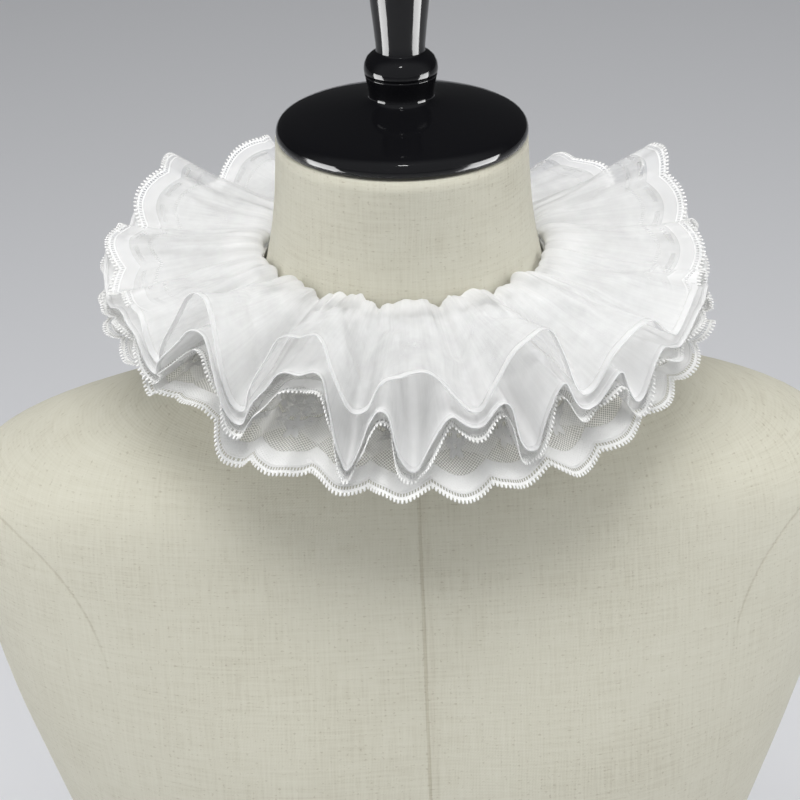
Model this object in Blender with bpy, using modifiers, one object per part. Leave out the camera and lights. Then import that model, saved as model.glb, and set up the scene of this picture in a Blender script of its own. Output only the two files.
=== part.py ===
# A gathered ruff collar of organza and lace, standing round the neck of a limbless dress form.
# Metres, +Z up, the wearer faces -Y. The form stands on Z = 0, and its neck axis is near X = Y = 0.

from collections import namedtuple
from math import cos, pi, radians, sin, sqrt

import bmesh
import bpy
import numpy as np

MM = 0.001

# Driving sizes of the collar
SEAM_HEIGHT = 470 * MM  # of the neck seam above the surface that the form stands on
CLEARANCE = 0.3 * MM  # between pieces that meet
NECK_EASE = 0.6 * MM  # of the band round the neck
BAND_THICKNESS = 1.2 * MM
BAND_TOP = 3.6 * MM  # above the seam plane
BAND_BOTTOM = -8.6 * MM
CLOTH = 1.0 * MM  # thickness of each ruffle's wall
STRIP_WIDTH = 62 * MM  # of the shortest ruffle, from its gathered edge to its hem

# Driving sizes of the dress form
NECK_TOP = 528 * MM
CAP_LIFT = 0.3 * MM  # of the cap over the neck's top face

# One row for each big fold of the ruffles, going round from behind the right shoulder.
# crest_at and trough_at are the azimuths of the fold's crest and of the trough after it, in degrees
# from the front, positive to the wearer's left. crest and trough are the top hem's heights there, in
# mm over the seam plane. extra is how much longer than STRIP_WIDTH the strip is, in mm, twist turns
# its hem, in degrees, and hang is the share of its full drop that a lower ruffle has there.
Fold = namedtuple("Fold", "crest_at crest trough_at trough extra twist hang")
FOLDS = (
    Fold(-171, 20, -160, 0, 1, 2, 0.0),
    Fold(-149, 20, -137, 2, 2, -2, 0.0),
    Fold(-123, 28, -111, 0, 3, 2, 0.0),
    Fold(-97, 12, -86, -4, 4, -2, 0.0),
    Fold(-74, 4, -60, -12, -1, 2, 0.0),
    Fold(-47, 24, -38, -19, 0, 1, 0.05),
    Fold(-23, 19, -13, -12, -1, 1, 0.8),
    Fold(-1, 6, 10, -13, 0, -1, 1.0),
    Fold(20, 16, 33, -16, 0, 1, 0.95),
    Fold(47, 5, 59, -9, 1, -2, 0.6),
    Fold(71, 4, 81, -8, 4, 2, 0.05),
    Fold(93, 11, 102, -3, 3, -2, 0.0),
    Fold(112, 30, 125, 0, 9, 1, 0.0),
    Fold(138, 12, 150, -2, 1, -2, 0.0),
    Fold(163, 15, 176, 1, 1, 1, 0.0),
)
TIGHTNESS = 1.35  # 1 gives crests and troughs the same width, and more makes troughs narrower

# One row for each narrow tube in which the middle ruffles hang down: its azimuth in degrees, how far
# it hangs in mm, and half its width in degrees.
Tube = namedtuple("Tube", "azimuth depth half")
TUBES = (
    Tube(-15, 21, 5.0),
    Tube(-1, 30, 7.0),
    Tube(20, 34, 7.0),
    Tube(47, 21, 7.0),
)

# One row for each ruffle, from the top one down.
# seam is its height in mm on the band, reach its length as a share of the top ruffle's. It keeps
# drop mm under the top ruffle's troughs, and hung mm more where hang is 1. sag is the share of each
# crest's height over the troughs that it lacks. tubes is the share that it has of each tube's depth,
# puff how far in mm its gathers stand up at the neck, lean how far in mm they lean back over the
# band, and scallops how many its edge has.
Ruffle = namedtuple("Ruffle", "name seam reach drop hung sag tubes puff lean scallops columns")
RUFFLES = (
    Ruffle("ruffle_organza_upper", 3.8, 1.00, 0.0, 0, 0.0, 0, 9.0, 3.4, 0, 132),
    Ruffle("ruffle_organza_lower", 0.6, 1.02, 3.6, 2, 0.3, 1, 7.0, 0.0, 0, 140),
    Ruffle("ruffle_lace_upper", -2.6, 1.03, 8.2, 2, 0.4, 1, 5.0, 0.0, 38, 152),
    Ruffle("ruffle_lace_lower", -5.8, 1.03, 12.0, 24, 0.85, 0, 3.5, 0.0, 32, 128),
)
SCALLOP_DEPTH = 4.5 * MM
ROWS = (0.0, 0.05, 0.16, 0.40, 0.70, 1.0)  # shares of a ruffle's reach, from the seam to the hem
BEND = 1.1  # 1 runs straight from the seam to the hem, and more bends the cloth down late
PUFF_RISE = 0.035  # share of the reach within which the gathers stand up
PUFF_FADE = 1.5  # power by which a puff sinks towards the hem
PUFF_ROUND = 0.6  # power that rounds a puff's top from one trough to the next
NOTCH = 0.25  # height of the neckline between two puffs, as a share of a puff's
STEPS_ROUND = 1440  # measured along each hem

# One row for each level of the dress form: height, half width, depth in front of and behind the
# neck axis, all in mm, and the power of the section's superellipse, where 2 is an ellipse.
Level = namedtuple("Level", "height width front back power")
LEVELS = (
    Level(0, 151, 104, 112, 2.2),
    Level(25, 149, 102, 108, 2.2),
    Level(50, 143, 99, 99, 2.2),
    Level(75, 136, 96, 89, 2.1),
    Level(100, 132, 94, 82, 2.1),
    Level(128, 134, 95, 81, 2.1),
    Level(158, 141, 100, 86, 2.1),
    Level(190, 150, 107, 94, 2.1),
    Level(220, 159, 111, 101, 2.2),
    Level(250, 169, 112, 106, 2.3),
    Level(278, 179, 109, 109, 2.4),
    Level(305, 187, 104, 110, 2.5),
    Level(335, 193, 96, 107, 2.6),
    Level(360, 196, 87.5, 101.5, 2.7),
    Level(376, 196, 81.5, 95.5, 2.7),
    Level(385, 190, 77.5, 90, 2.6),
    Level(393, 176, 74, 85.5, 2.4),
    Level(401.5, 147, 70.8, 79.5, 2.25),
    Level(411, 117, 68, 74, 2.15),
    Level(423, 90, 65.4, 69.2, 2.05),
    Level(440, 71.8, 62.7, 64.3, 2.0),
    Level(456, 62.5, 60.8, 60.8, 2.0),
    Level(470, 59.6, 59.8, 58.8, 2.0),
    Level(488, 55.4, 57.6, 54.2, 2.0),
    Level(508, 53.6, 56.9, 51.0, 2.0),
    Level(528, 52.9, 57.1, 49.3, 2.0),
)
FORM_COLUMNS = 36
BUST_HEIGHT = 235 * MM
BUST_SIDE = 74 * MM
BUST_REACH = 21 * MM
BUST_SPREAD_X = 50 * MM
BUST_SPREAD_Z = 58 * MM
BUST_FADE = 60 * MM  # how far in front of the neck axis the bust reaches its full size

# The turned cap and its handle: radius and height over the neck's top face, in mm, bottom to top.
Turn = namedtuple("Turn", "radius height")
CAP_TURNS = (
    Turn(0, 0),
    Turn(50.4, 0),
    Turn(52.0, 0.8),
    Turn(52.4, 2.4),
    Turn(52.0, 5.2),
    Turn(50.2, 7.4),
    Turn(41.5, 10.3),
    Turn(30, 13.1),
    Turn(18, 15.8),
    Turn(13.8, 17.6),
    Turn(13.4, 19.2),
    Turn(14.0, 23.0),
    Turn(14.9, 26.8),
    Turn(15.3, 29.8),
    Turn(14.8, 33.0),
    Turn(13.0, 35.8),
    Turn(10.2, 37.2),
    Turn(10.6, 44.0),
    Turn(12.6, 62.0),
    Turn(13.9, 80.0),
    Turn(13.6, 85.6),
    Turn(11.4, 90.0),
    Turn(6.6, 92.8),
    Turn(0, 93.8),
)
CAP_STEPS = 24
EDGE = radians(50)  # the bend past which an edge is drawn sharp
MERGE = 0.001 * MM

LINEN = ((0.71, 0.68, 0.58, 1), 0.85)
LACQUER = ((0.012, 0.012, 0.013, 1), 0.12)
ORGANZA = ((0.93, 0.93, 0.92, 1), 0.55)
LACE = ((0.95, 0.95, 0.95, 1), 0.75)
TAPE = ((0.90, 0.90, 0.89, 1), 0.80)


def clear_scene():
    for obj in list(bpy.data.objects):
        bpy.data.objects.remove(obj)


def material(name, look):
    colour, roughness = look
    made = bpy.data.materials.new(name)
    made.use_nodes = True
    shader = made.node_tree.nodes["Principled BSDF"]
    shader.inputs["Base Color"].default_value = colour
    shader.inputs["Roughness"].default_value = roughness
    shader.inputs["Metallic"].default_value = 0.0
    return made


def wrapped_sheet(columns, rows, place):
    """A bmesh grid laid round the neck axis: place gives the point at a share round and a row's share."""
    bm = bmesh.new()
    bmesh.ops.create_grid(bm, x_segments=columns, y_segments=len(rows) - 1, size=0.5)
    for vert in bm.verts:
        row = round((vert.co.y + 0.5) * (len(rows) - 1))
        column = round((vert.co.x + 0.5) * columns) % columns
        vert.co = place(column / columns, rows[row])
    bmesh.ops.remove_doubles(bm, verts=bm.verts, dist=MERGE)
    return bm


def add_object(name, bm, collection, look):
    mesh = bpy.data.meshes.new(name)
    bm.to_mesh(mesh)
    bm.free()
    mesh.materials.append(look)
    mesh.shade_smooth()
    obj = bpy.data.objects.new(name, mesh)
    collection.objects.link(obj)
    return obj


def solidify(obj, thickness):
    wall = obj.modifiers.new("wall", "SOLIDIFY")
    wall.thickness = thickness
    wall.offset = 0.0
    wall.use_even_offset = False
    return wall


def section_point(level, azimuth):
    """A point of one level's superellipse, its azimuth in radians from the front."""
    across, along = sin(azimuth), -cos(azimuth)
    depth = level.front if along < 0 else level.back
    size = (abs(across / level.width) ** level.power + abs(along / depth) ** level.power) ** (-1 / level.power)
    return across * size * MM, along * size * MM


def bust(x, y, z):
    """How far the bust carries a point of the form's front forwards."""
    if y >= 0:
        return 0.0
    reach = 0.0
    for side in (-1, 1):
        off_x = (x - side * BUST_SIDE) / BUST_SPREAD_X
        off_z = (z - BUST_HEIGHT) / BUST_SPREAD_Z
        reach += np.exp(-0.5 * (off_x**2 + off_z**2))
    return BUST_REACH * reach * min(1.0, -y / BUST_FADE)


def level_at(height):
    """The form's section at a height in mm, between the rows of LEVELS."""
    heights = [level.height for level in LEVELS]
    sizes = [np.interp(height, heights, [level[k] for level in LEVELS]) for k in range(1, 5)]
    return Level(height, *sizes)


def make_torso(collection):
    def place(share, row):
        level = LEVELS[int(row)]
        x, y = section_point(level, 2 * pi * share)
        return x, y - bust(x, y, level.height * MM), level.height * MM

    bm = wrapped_sheet(FORM_COLUMNS, range(len(LEVELS)), place)
    bmesh.ops.holes_fill(bm, edges=bm.edges)
    bmesh.ops.recalc_face_normals(bm, faces=bm.faces)
    obj = add_object("form_torso", bm, collection, material("linen", LINEN))
    obj.data.set_sharp_from_angle(angle=EDGE)


def make_cap(collection):
    """A profile spun once round the neck's own middle."""
    top = LEVELS[-1]
    bm = bmesh.new()
    profile = [bm.verts.new((turn.radius * MM, 0, turn.height * MM)) for turn in CAP_TURNS]
    edges = [bm.edges.new(pair) for pair in zip(profile, profile[1:])]
    bmesh.ops.spin(
        bm, geom=profile + edges, cent=(0, 0, 0), axis=(0, 0, 1), angle=2 * pi, steps=CAP_STEPS, use_merge=True
    )
    bmesh.ops.remove_doubles(bm, verts=bm.verts, dist=MERGE)
    bmesh.ops.recalc_face_normals(bm, faces=bm.faces)
    obj = add_object("form_neck_cap", bm, collection, material("lacquer", LACQUER))
    obj.location = (0, (top.back - top.front) / 2 * MM, NECK_TOP + CAP_LIFT)
    obj.data.set_sharp_from_angle(angle=EDGE)


def neck_radius(azimuth, height):
    """The form's neck radius at a height over the seam plane."""
    x, y = section_point(level_at((SEAM_HEIGHT + height) / MM), azimuth)
    return sqrt(x * x + y * y)


def band_radius(azimuth, height):
    """The middle of the band's wall."""
    return neck_radius(azimuth, height) + NECK_EASE + BAND_THICKNESS / 2


def make_band(collection):
    def place(share, row):
        azimuth = 2 * pi * share
        height = BAND_BOTTOM + (BAND_TOP - BAND_BOTTOM) * row
        radius = band_radius(azimuth, height)
        return radius * sin(azimuth), -radius * cos(azimuth), SEAM_HEIGHT + height

    bm = wrapped_sheet(FORM_COLUMNS, (0, 1), place)
    bmesh.ops.recalc_face_normals(bm, faces=bm.faces)
    obj = add_object("collar_band", bm, collection, material("tape", TAPE))
    solidify(obj, BAND_THICKNESS)


def ease(share):
    return 0.5 - 0.5 * cos(pi * share)


# A crest or a trough: way is 0 on a crest and 1 in a trough, and low is the troughs' height there.
Knot = namedtuple("Knot", "azimuth height way low extra twist hang")


def knots_round():
    """The crests and troughs in order, over three turns, so that every azimuth lies between two."""
    knots = []
    for turn in (-360, 0, 360):
        for i, fold in enumerate(FOLDS):
            before, after = FOLDS[i - 1], FOLDS[(i + 1) % len(FOLDS)]
            lows = (before.trough + fold.trough) / 2
            between = [(a + b) / 2 for a, b in zip(fold[4:], after[4:])]
            knots.append(Knot(fold.crest_at + turn, fold.crest, 0, lows, *fold[4:]))
            knots.append(Knot(fold.trough_at + turn, fold.trough, 1, fold.trough, *between))
    return knots


KNOTS = knots_round()
KNOT_AZIMUTHS = [knot.azimuth for knot in KNOTS]


def wave_at(azimuth):
    """The wave at any azimuth in degrees, eased between the crest and the trough on its two sides."""
    i = int(np.searchsorted(KNOT_AZIMUTHS, azimuth, side="right")) - 1
    before, after = KNOTS[i], KNOTS[i + 1]
    share = (azimuth - before.azimuth) / (after.azimuth - before.azimuth)
    crest, trough, way = (before, after, share) if before.way == 0 else (after, before, 1 - share)
    height = crest.height + (trough.height - crest.height) * ease(way**TIGHTNESS)
    eased = [a + (b - a) * ease(share) for a, b in zip(before[3:], after[3:])]
    return Knot(azimuth, height, way, *eased)


def tube_at(azimuth):
    """How far in mm the tubes hang at an azimuth in degrees."""
    return sum(tube.depth * (1 - ease(min(1, abs(azimuth - tube.azimuth) / tube.half))) for tube in TUBES)


def ruffle_point(ruffle, azimuth, share):
    """The point of a ruffle at an azimuth in degrees, a share of the top ruffle's reach out."""
    wave = wave_at(azimuth)
    seam = ruffle.seam * MM
    drop = ruffle.drop + ruffle.hung * wave.hang + ruffle.tubes * tube_at(azimuth)
    hem = (wave.low + (1 - ruffle.sag) * (wave.height - wave.low) - drop) * MM
    start = band_radius(radians(azimuth), seam) + BAND_THICKNESS / 2 + CLEARANCE + CLOTH / 2
    reach = sqrt((STRIP_WIDTH + wave.extra * MM) ** 2 - (wave.height * MM) ** 2)
    puff = ruffle.puff * MM * (NOTCH + (1 - NOTCH) * max(0.0, cos(pi / 2 * wave.way)) ** PUFF_ROUND)
    rise = (1 - np.exp(-share / PUFF_RISE)) * (1 - min(share, 1)) ** PUFF_FADE
    lean = ruffle.lean * MM * share / PUFF_RISE * np.exp(1 - share / PUFF_RISE)
    height = seam + (hem - seam) * share**BEND + puff * rise
    turned = radians(azimuth + wave.twist * share)
    radius = start + reach * share - lean
    return radius * sin(turned), -radius * cos(turned), SEAM_HEIGHT + height


def strip_azimuths(ruffle):
    """Azimuths in degrees at even steps along the hem of a ruffle, from its own cut length."""
    around = np.linspace(-180, 180, STEPS_ROUND + 1)
    hem = np.array([ruffle_point(ruffle, a, ruffle.reach) for a in around])
    steps = np.linalg.norm(np.diff(hem, axis=0), axis=1)
    along = np.concatenate([[0.0], np.cumsum(steps)])
    return along / along[-1], around


def make_ruffle(ruffle, collection, look):
    along, around = strip_azimuths(ruffle)

    def place(share_round, row):
        azimuth = float(np.interp(share_round, along, around))
        reach = ruffle.reach
        if ruffle.scallops:
            arch = abs(sin(pi * ruffle.scallops * share_round))
            reach -= (1 - arch) * SCALLOP_DEPTH / STRIP_WIDTH * row
        return ruffle_point(ruffle, azimuth, reach * row)

    bm = wrapped_sheet(ruffle.columns, ROWS, place)
    bmesh.ops.recalc_face_normals(bm, faces=bm.faces)
    obj = add_object(ruffle.name, bm, collection, look)
    solidify(obj, CLOTH)


def main():
    clear_scene()
    collection = bpy.data.collections.new("ruff_collar_on_dress_form")
    bpy.context.scene.collection.children.link(collection)
    make_torso(collection)
    make_cap(collection)
    make_band(collection)
    looks = {"organza": material("organza", ORGANZA), "lace": material("lace", LACE)}
    for ruffle in RUFFLES:
        make_ruffle(ruffle, collection, looks["lace" if ruffle.scallops else "organza"])


main()
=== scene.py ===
# %% [markdown]
# # A gathered ruff collar on a dress form
#
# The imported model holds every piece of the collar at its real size: four ruffles gathered onto a
# narrow band, round the neck of a limbless dress form. Here each piece gets its finish. The cloth
# becomes thin, sheer and finely gathered, the lace gets its net, motifs and picot edge, and the form
# its linen and its black lacquer.

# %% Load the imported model
from collections import namedtuple
from math import atan, cos, pi, radians, sin, sqrt, tan

import bmesh
import bpy
import numpy as np
from mathutils import Matrix, Vector, noise


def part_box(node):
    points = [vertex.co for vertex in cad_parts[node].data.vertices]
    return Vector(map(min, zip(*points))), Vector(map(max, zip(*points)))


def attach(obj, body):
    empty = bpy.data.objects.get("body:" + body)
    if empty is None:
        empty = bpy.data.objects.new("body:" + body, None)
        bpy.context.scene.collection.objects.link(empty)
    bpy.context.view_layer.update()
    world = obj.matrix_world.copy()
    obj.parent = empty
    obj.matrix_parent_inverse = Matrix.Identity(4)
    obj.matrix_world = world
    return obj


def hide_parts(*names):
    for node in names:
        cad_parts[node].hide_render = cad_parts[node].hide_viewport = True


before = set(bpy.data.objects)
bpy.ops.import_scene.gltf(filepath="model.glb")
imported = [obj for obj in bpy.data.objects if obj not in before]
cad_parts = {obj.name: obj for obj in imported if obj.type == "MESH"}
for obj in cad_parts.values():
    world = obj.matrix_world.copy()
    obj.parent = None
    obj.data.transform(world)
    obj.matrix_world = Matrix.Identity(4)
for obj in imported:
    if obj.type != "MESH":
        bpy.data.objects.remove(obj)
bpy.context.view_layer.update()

MM = 0.001
scene = bpy.context.scene
print("nodes:", ", ".join(sorted(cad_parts)))

# %% [markdown]
# ## The photograph's view
#
# The camera looks down on the collar from a little over a metre away, with the neck near the middle
# of the picture. One pixel of the photograph is 0.426 mm at the neck, and that fixes the lens once
# the distance is chosen. The form is turned a few degrees, so the camera stands a little to its right,
# and the picture leans by about a degree.

# %% Camera
SEAM_HEIGHT = 470 * MM
PHOTO_SIDE = 800
PIXEL = 0.426 * MM
NECK_X, NECK_Y = 407, 262
CAMERA_DISTANCE = 1.15
CAMERA_ELEVATION = 23.0
CAMERA_AZIMUTH = -3.0
CAMERA_ROLL = -1.2

half_side = PHOTO_SIDE / 2
neck = Vector((0, 0, SEAM_HEIGHT))
turn = Matrix.Rotation(radians(CAMERA_AZIMUTH), 3, "Z")
tilt = radians(CAMERA_ELEVATION)
below_axis = atan((half_side - NECK_Y) * PIXEL / CAMERA_DISTANCE)
camera = bpy.data.objects.new("camera", bpy.data.cameras.new("camera"))
scene.collection.objects.link(camera)
scene.camera = camera
camera.location = neck + turn @ Vector(
    ((half_side - NECK_X) * PIXEL, -CAMERA_DISTANCE * cos(tilt), CAMERA_DISTANCE * sin(tilt))
)
aim = turn @ Matrix.Rotation(radians(90) - tilt - below_axis, 3, "X")
camera.rotation_euler = (aim @ Matrix.Rotation(radians(CAMERA_ROLL), 3, "Z")).to_euler()
camera.data.sensor_width = 36
camera.data.lens = 18 / tan(atan(half_side * PIXEL / CAMERA_DISTANCE))
camera.data.clip_start = 0.05
print(f"lens {camera.data.lens:.0f} mm, {CAMERA_DISTANCE} m away")

# %% [markdown]
# ## The studio
#
# A soft box over the form gives the soft shadow that the collar throws on the chest, and one behind
# it lights the floor and the back. Two tall ones stand at its sides, so the neck is brighter there
# than in its middle. Gloss lacquer shows lights as clear shapes, two upright stripes and one spot
# here, so three more lights are there for reflections alone. The air is bright in front and dark
# behind. A pale grey floor fills the background, because the camera looks down.

# %% Floor, lights and air
FLOOR_SIZE = 8.0
FLOOR_GAP = 0.2 * MM
FLOOR_GREY = (0.80, 0.805, 0.825, 1)
AIR = (0.95, 0.97, 1.0, 1)
AIR_IN_FRONT = 0.42
AIR_BEHIND = 0.04
AIR_TURNS = (0.35, -0.45)  # how far back and how far forwards a direction points where the air changes


def principled(name, colour, roughness, **sockets):
    """A Principled material, with plain values straight on its sockets."""
    made = bpy.data.materials.new(name)
    made.use_nodes = True
    shader = made.node_tree.nodes["Principled BSDF"]
    shader.inputs["Base Color"].default_value = colour
    shader.inputs["Roughness"].default_value = roughness
    for socket, value in sockets.items():
        shader.inputs[socket.replace("_", " ")].default_value = value
    return made


def new_object(name, bm, *materials):
    """Turns a bmesh into a smooth object at the origin."""
    mesh = bpy.data.meshes.new(name)
    bm.to_mesh(mesh)
    bm.free()
    mesh.shade_smooth()
    for finish in materials:
        mesh.materials.append(finish)
    obj = bpy.data.objects.new(name, mesh)
    scene.collection.objects.link(obj)
    print(f"{name}: {len(mesh.vertices)} points, {len(mesh.polygons)} faces")
    return obj


bm = bmesh.new()
bmesh.ops.create_grid(bm, x_segments=1, y_segments=1, size=FLOOR_SIZE / 2)
bmesh.ops.translate(bm, verts=bm.verts, vec=(0, 0, -FLOOR_GAP))
floor = new_object("floor", bm, principled("floor_grey", FLOOR_GREY, 0.9))

SoftBox = namedtuple("SoftBox", "name place aim width height watts lights shows")
SOFT_BOXES = (
    SoftBox("soft_box_over", (-0.10, -0.64, 2.05), (0, 0, 0.45), 1.2, 1.0, 18.8, True, False),
    SoftBox("soft_box_left", (-1.35, -0.27, 1.05), (0, 0, 0.47), 0.6, 1.2, 8.8, True, False),
    SoftBox("soft_box_right", (1.35, -0.32, 1.10), (0, 0, 0.47), 0.6, 1.2, 9.2, True, False),
    SoftBox("soft_box_behind", (0.5, 1.5, 2.4), (0, 0.3, 0.2), 1.6, 1.2, 8.0, True, False),
    SoftBox("stripe_left", (-0.61, -0.13, 0.27), (0, 0, 0.6), 0.40, 0.50, 10.0, False, True),
    SoftBox("stripe_right", (0.59, -0.19, 0.27), (0, 0, 0.6), 0.40, 0.50, 10.0, False, True),
    SoftBox("lamp_over", (-0.06, -0.95, 1.95), (0, 0, 0.5), 0.20, 0.12, 2.6, False, True),
)
for box in SOFT_BOXES:
    lamp = bpy.data.lights.new(box.name, "AREA")
    lamp.shape = "RECTANGLE"
    lamp.size, lamp.size_y = box.width, box.height
    lamp.energy = box.watts
    holder = bpy.data.objects.new(box.name, lamp)
    holder.location = box.place
    holder.rotation_euler = (Vector(box.aim) - Vector(box.place)).to_track_quat("-Z", "Y").to_euler()
    holder.visible_diffuse, holder.visible_glossy = box.lights, box.shows
    holder.visible_camera = False
    scene.collection.objects.link(holder)

scene.view_settings.view_transform = "Standard"
scene.cycles.transparent_max_bounces = 16
print(len(SOFT_BOXES), "soft boxes")

# %% [markdown]
# ## Patterns as sums
#
# Linen, organza and lace are patterns of threads, and a pattern is a formula of the place on the
# cloth. A small class lets the material nodes be written as that formula: adding two Thread values
# places an Add node, and so on. Every cloth here has a UV map in metres, across and along its own
# weave, so the same formula stays the same size on every piece.

# %% A class for formulas in a material


class Thread:
    """A number worked out by nodes at each point of a surface."""

    def __init__(self, tree, socket):
        self.tree, self.socket = tree, socket

    def maths(self, operation, *others):
        node = self.tree.nodes.new("ShaderNodeMath")
        node.operation = operation
        for slot, value in enumerate((self, *others)):
            if isinstance(value, Thread):
                self.tree.links.new(value.socket, node.inputs[slot])
            else:
                node.inputs[slot].default_value = value
        return Thread(self.tree, node.outputs[0])

    def __add__(self, other):
        return self.maths("ADD", other)

    def __sub__(self, other):
        return self.maths("SUBTRACT", other)

    def __mul__(self, other):
        return self.maths("MULTIPLY", other)

    def __truediv__(self, other):
        return self.maths("DIVIDE", other)

    def flipped(self):
        """One minus the value."""
        return self.maths("MULTIPLY_ADD", -1.0, 1.0)

    def root(self):
        return self.maths("SQRT")

    def size(self):
        return self.maths("ABSOLUTE")

    def wave(self, period, shift=0.0):
        """A sine of this period, from -1 to 1."""
        return (self * (2 * pi / period) + shift).maths("SINE")

    def arch(self, period):
        """One hump for each period, from 0 to 1."""
        return (self * (pi / period)).maths("SINE").size()

    def within(self, period):
        """The distance from the middle of the repeat that the point is in."""
        return (self / period).maths("FRACT") * period - period / 2

    def at_most(self, other):
        return self.maths("MINIMUM", other)

    def at_least(self, other):
        return self.maths("MAXIMUM", other)

    def angle_to(self, other):
        return self.maths("ARCTAN2", other)

    def soft(self, low, high):
        """Rises smoothly from 0 at low to 1 at high, or falls where low is the larger."""
        node = self.tree.nodes.new("ShaderNodeMapRange")
        node.interpolation_type = "SMOOTHSTEP"
        self.tree.links.new(self.socket, node.inputs["Value"])
        for name, value in (("From Min", low), ("From Max", high), ("To Min", 0.0), ("To Max", 1.0)):
            node.inputs[name].default_value = value
        return Thread(self.tree, node.outputs["Result"])

    def line(self, middle, width, blur=0.15):
        """One on a line of this width, fading over blur at both sides."""
        return (self - middle).size().soft(width / 2 + blur, width / 2)


def cloth_place(tree):
    """The place across and along the cloth, in mm, from the piece's UV map."""
    uv = tree.nodes.new("ShaderNodeUVMap")
    uv.uv_map = "cloth"
    apart = tree.nodes.new("ShaderNodeSeparateXYZ")
    tree.links.new(uv.outputs[0], apart.inputs[0])
    return Thread(tree, apart.outputs[0]) * 1000, Thread(tree, apart.outputs[1]) * 1000


def object_place(tree):
    """The point's own coordinates, in mm."""
    where = tree.nodes.new("ShaderNodeTexCoord")
    apart = tree.nodes.new("ShaderNodeSeparateXYZ")
    tree.links.new(where.outputs["Object"], apart.inputs[0])
    return [Thread(tree, output) * 1000 for output in apart.outputs]


def flecks(tree, across, along, detail=2.0):
    """Smooth random values from 0 to 1, over places given as two Threads."""
    joined = tree.nodes.new("ShaderNodeCombineXYZ")
    tree.links.new(across.socket, joined.inputs[0])
    tree.links.new(along.socket, joined.inputs[1])
    found = tree.nodes.new("ShaderNodeTexNoise")
    found.noise_dimensions = "2D"
    found.inputs["Scale"].default_value = 1.0
    found.inputs["Detail"].default_value = detail
    tree.links.new(joined.outputs[0], found.inputs["Vector"])
    return Thread(tree, found.outputs["Fac"])


def blend_colours(tree, share, *colours):
    """Mixes colours by a Thread from 0 to 1, evenly spaced."""
    ramp = tree.nodes.new("ShaderNodeValToRGB")
    tree.links.new(share.socket, ramp.inputs[0])
    stops = ramp.color_ramp.elements
    stops[1].position = 1.0
    for _ in colours[2:]:
        stops.new(0.5)
    for i, colour in enumerate(colours):
        stops[i].position = i / (len(colours) - 1)
        stops[i].color = colour
    return ramp.outputs["Color"]


def raise_relief(tree, shader, height, distance_mm, strength=1.0):
    """Bumps the surface by a Thread of heights from 0 to 1."""
    bump = tree.nodes.new("ShaderNodeBump")
    bump.inputs["Distance"].default_value = distance_mm * MM
    bump.inputs["Strength"].default_value = strength
    tree.links.new(height.socket, bump.inputs["Height"])
    tree.links.new(bump.outputs["Normal"], shader.inputs["Normal"])


# %% The air round the form
air = bpy.data.worlds.new("air")
air.use_nodes = True
tree = air.node_tree
background = tree.nodes["Background"]
background.inputs["Color"].default_value = AIR
towards = tree.nodes.new("ShaderNodeTexCoord")
apart = tree.nodes.new("ShaderNodeSeparateXYZ")
tree.links.new(towards.outputs["Generated"], apart.inputs[0])
in_front = Thread(tree, apart.outputs[1]).soft(*AIR_TURNS)
strength = in_front * (AIR_IN_FRONT - AIR_BEHIND) + AIR_BEHIND
tree.links.new(strength.socket, background.inputs["Strength"])
scene.world = air
print(f"air from {AIR_BEHIND} behind to {AIR_IN_FRONT} in front")

# %% [markdown]
# ## The linen cover
#
# The form is covered in plain-woven linen of uneven threads, pale where the light falls and flecked
# with darker slubs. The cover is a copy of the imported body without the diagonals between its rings, so
# its faces have four sides and subdivision rounds it. Its UV map is measured along the surface from the
# centre front, as if the cloth were laid there. One seam runs down the front and one over each arm's
# end.

# %% Linen
LINEN_DARK = (0.45, 0.415, 0.32, 1)
LINEN_MID = (0.625, 0.605, 0.50, 1)
LINEN_PALE = (0.70, 0.685, 0.585, 1)
THREAD_MM = 0.62
DRIFT_MM = 2.6
WEFT_TONE, WARP_TONE, MOTTLE_TONE, WEAVE_TONE = 0.42, 0.38, 0.32, 0.16
TONE_SHIFT = -0.11
# The last of these sets how dark the painted fold shade beside the front seam is.
SPECK_TONE, SEAM_TONE, FOLD_SHADE_TONE = 0.30, 0.30, 0.25
ARM_MIDDLE, ARM_HEIGHT, ARM_RADIUS = 202, 312, 71  # mm, the circle that an armhole's seam follows
ARM_SEAM_FADE = 35  # mm over the circle's middle, below which the seam fades out

linen = principled("linen", LINEN_MID, 0.88, Sheen_Weight=0.12, Specular_IOR_Level=0.1)
tree = linen.node_tree
shader = tree.nodes["Principled BSDF"]
across, along = cloth_place(tree)
drift = flecks(tree, across * 0.02, along * 0.02, 1.0) * DRIFT_MM
drawn_across, drawn_along = across + drift, along + drift
warp = drawn_across.arch(THREAD_MM)
weft = drawn_along.arch(THREAD_MM)
over = (drawn_across.wave(2 * THREAD_MM) * drawn_along.wave(2 * THREAD_MM)).soft(-0.15, 0.15)
weave = warp * over + weft * over.flipped()
weft_slubs = flecks(tree, across * 0.045, along * 0.95)
warp_slubs = flecks(tree, across * 0.95, along * 0.045)
mottle = flecks(tree, across * 0.018, along * 0.022, 4.0)
specks = flecks(tree, across * 0.55, along * 1.1, 0.0).soft(0.78, 0.84)
slubs = weft_slubs * WEFT_TONE + warp_slubs * WARP_TONE
tone = slubs + mottle * MOTTLE_TONE + weave * WEAVE_TONE + TONE_SHIFT
x, y, z = object_place(tree)
under_collar = z.soft(SEAM_HEIGHT / MM, SEAM_HEIGHT / MM - 12)
front_seam = across.line(0.0, 0.9, 0.5) * under_collar
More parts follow.
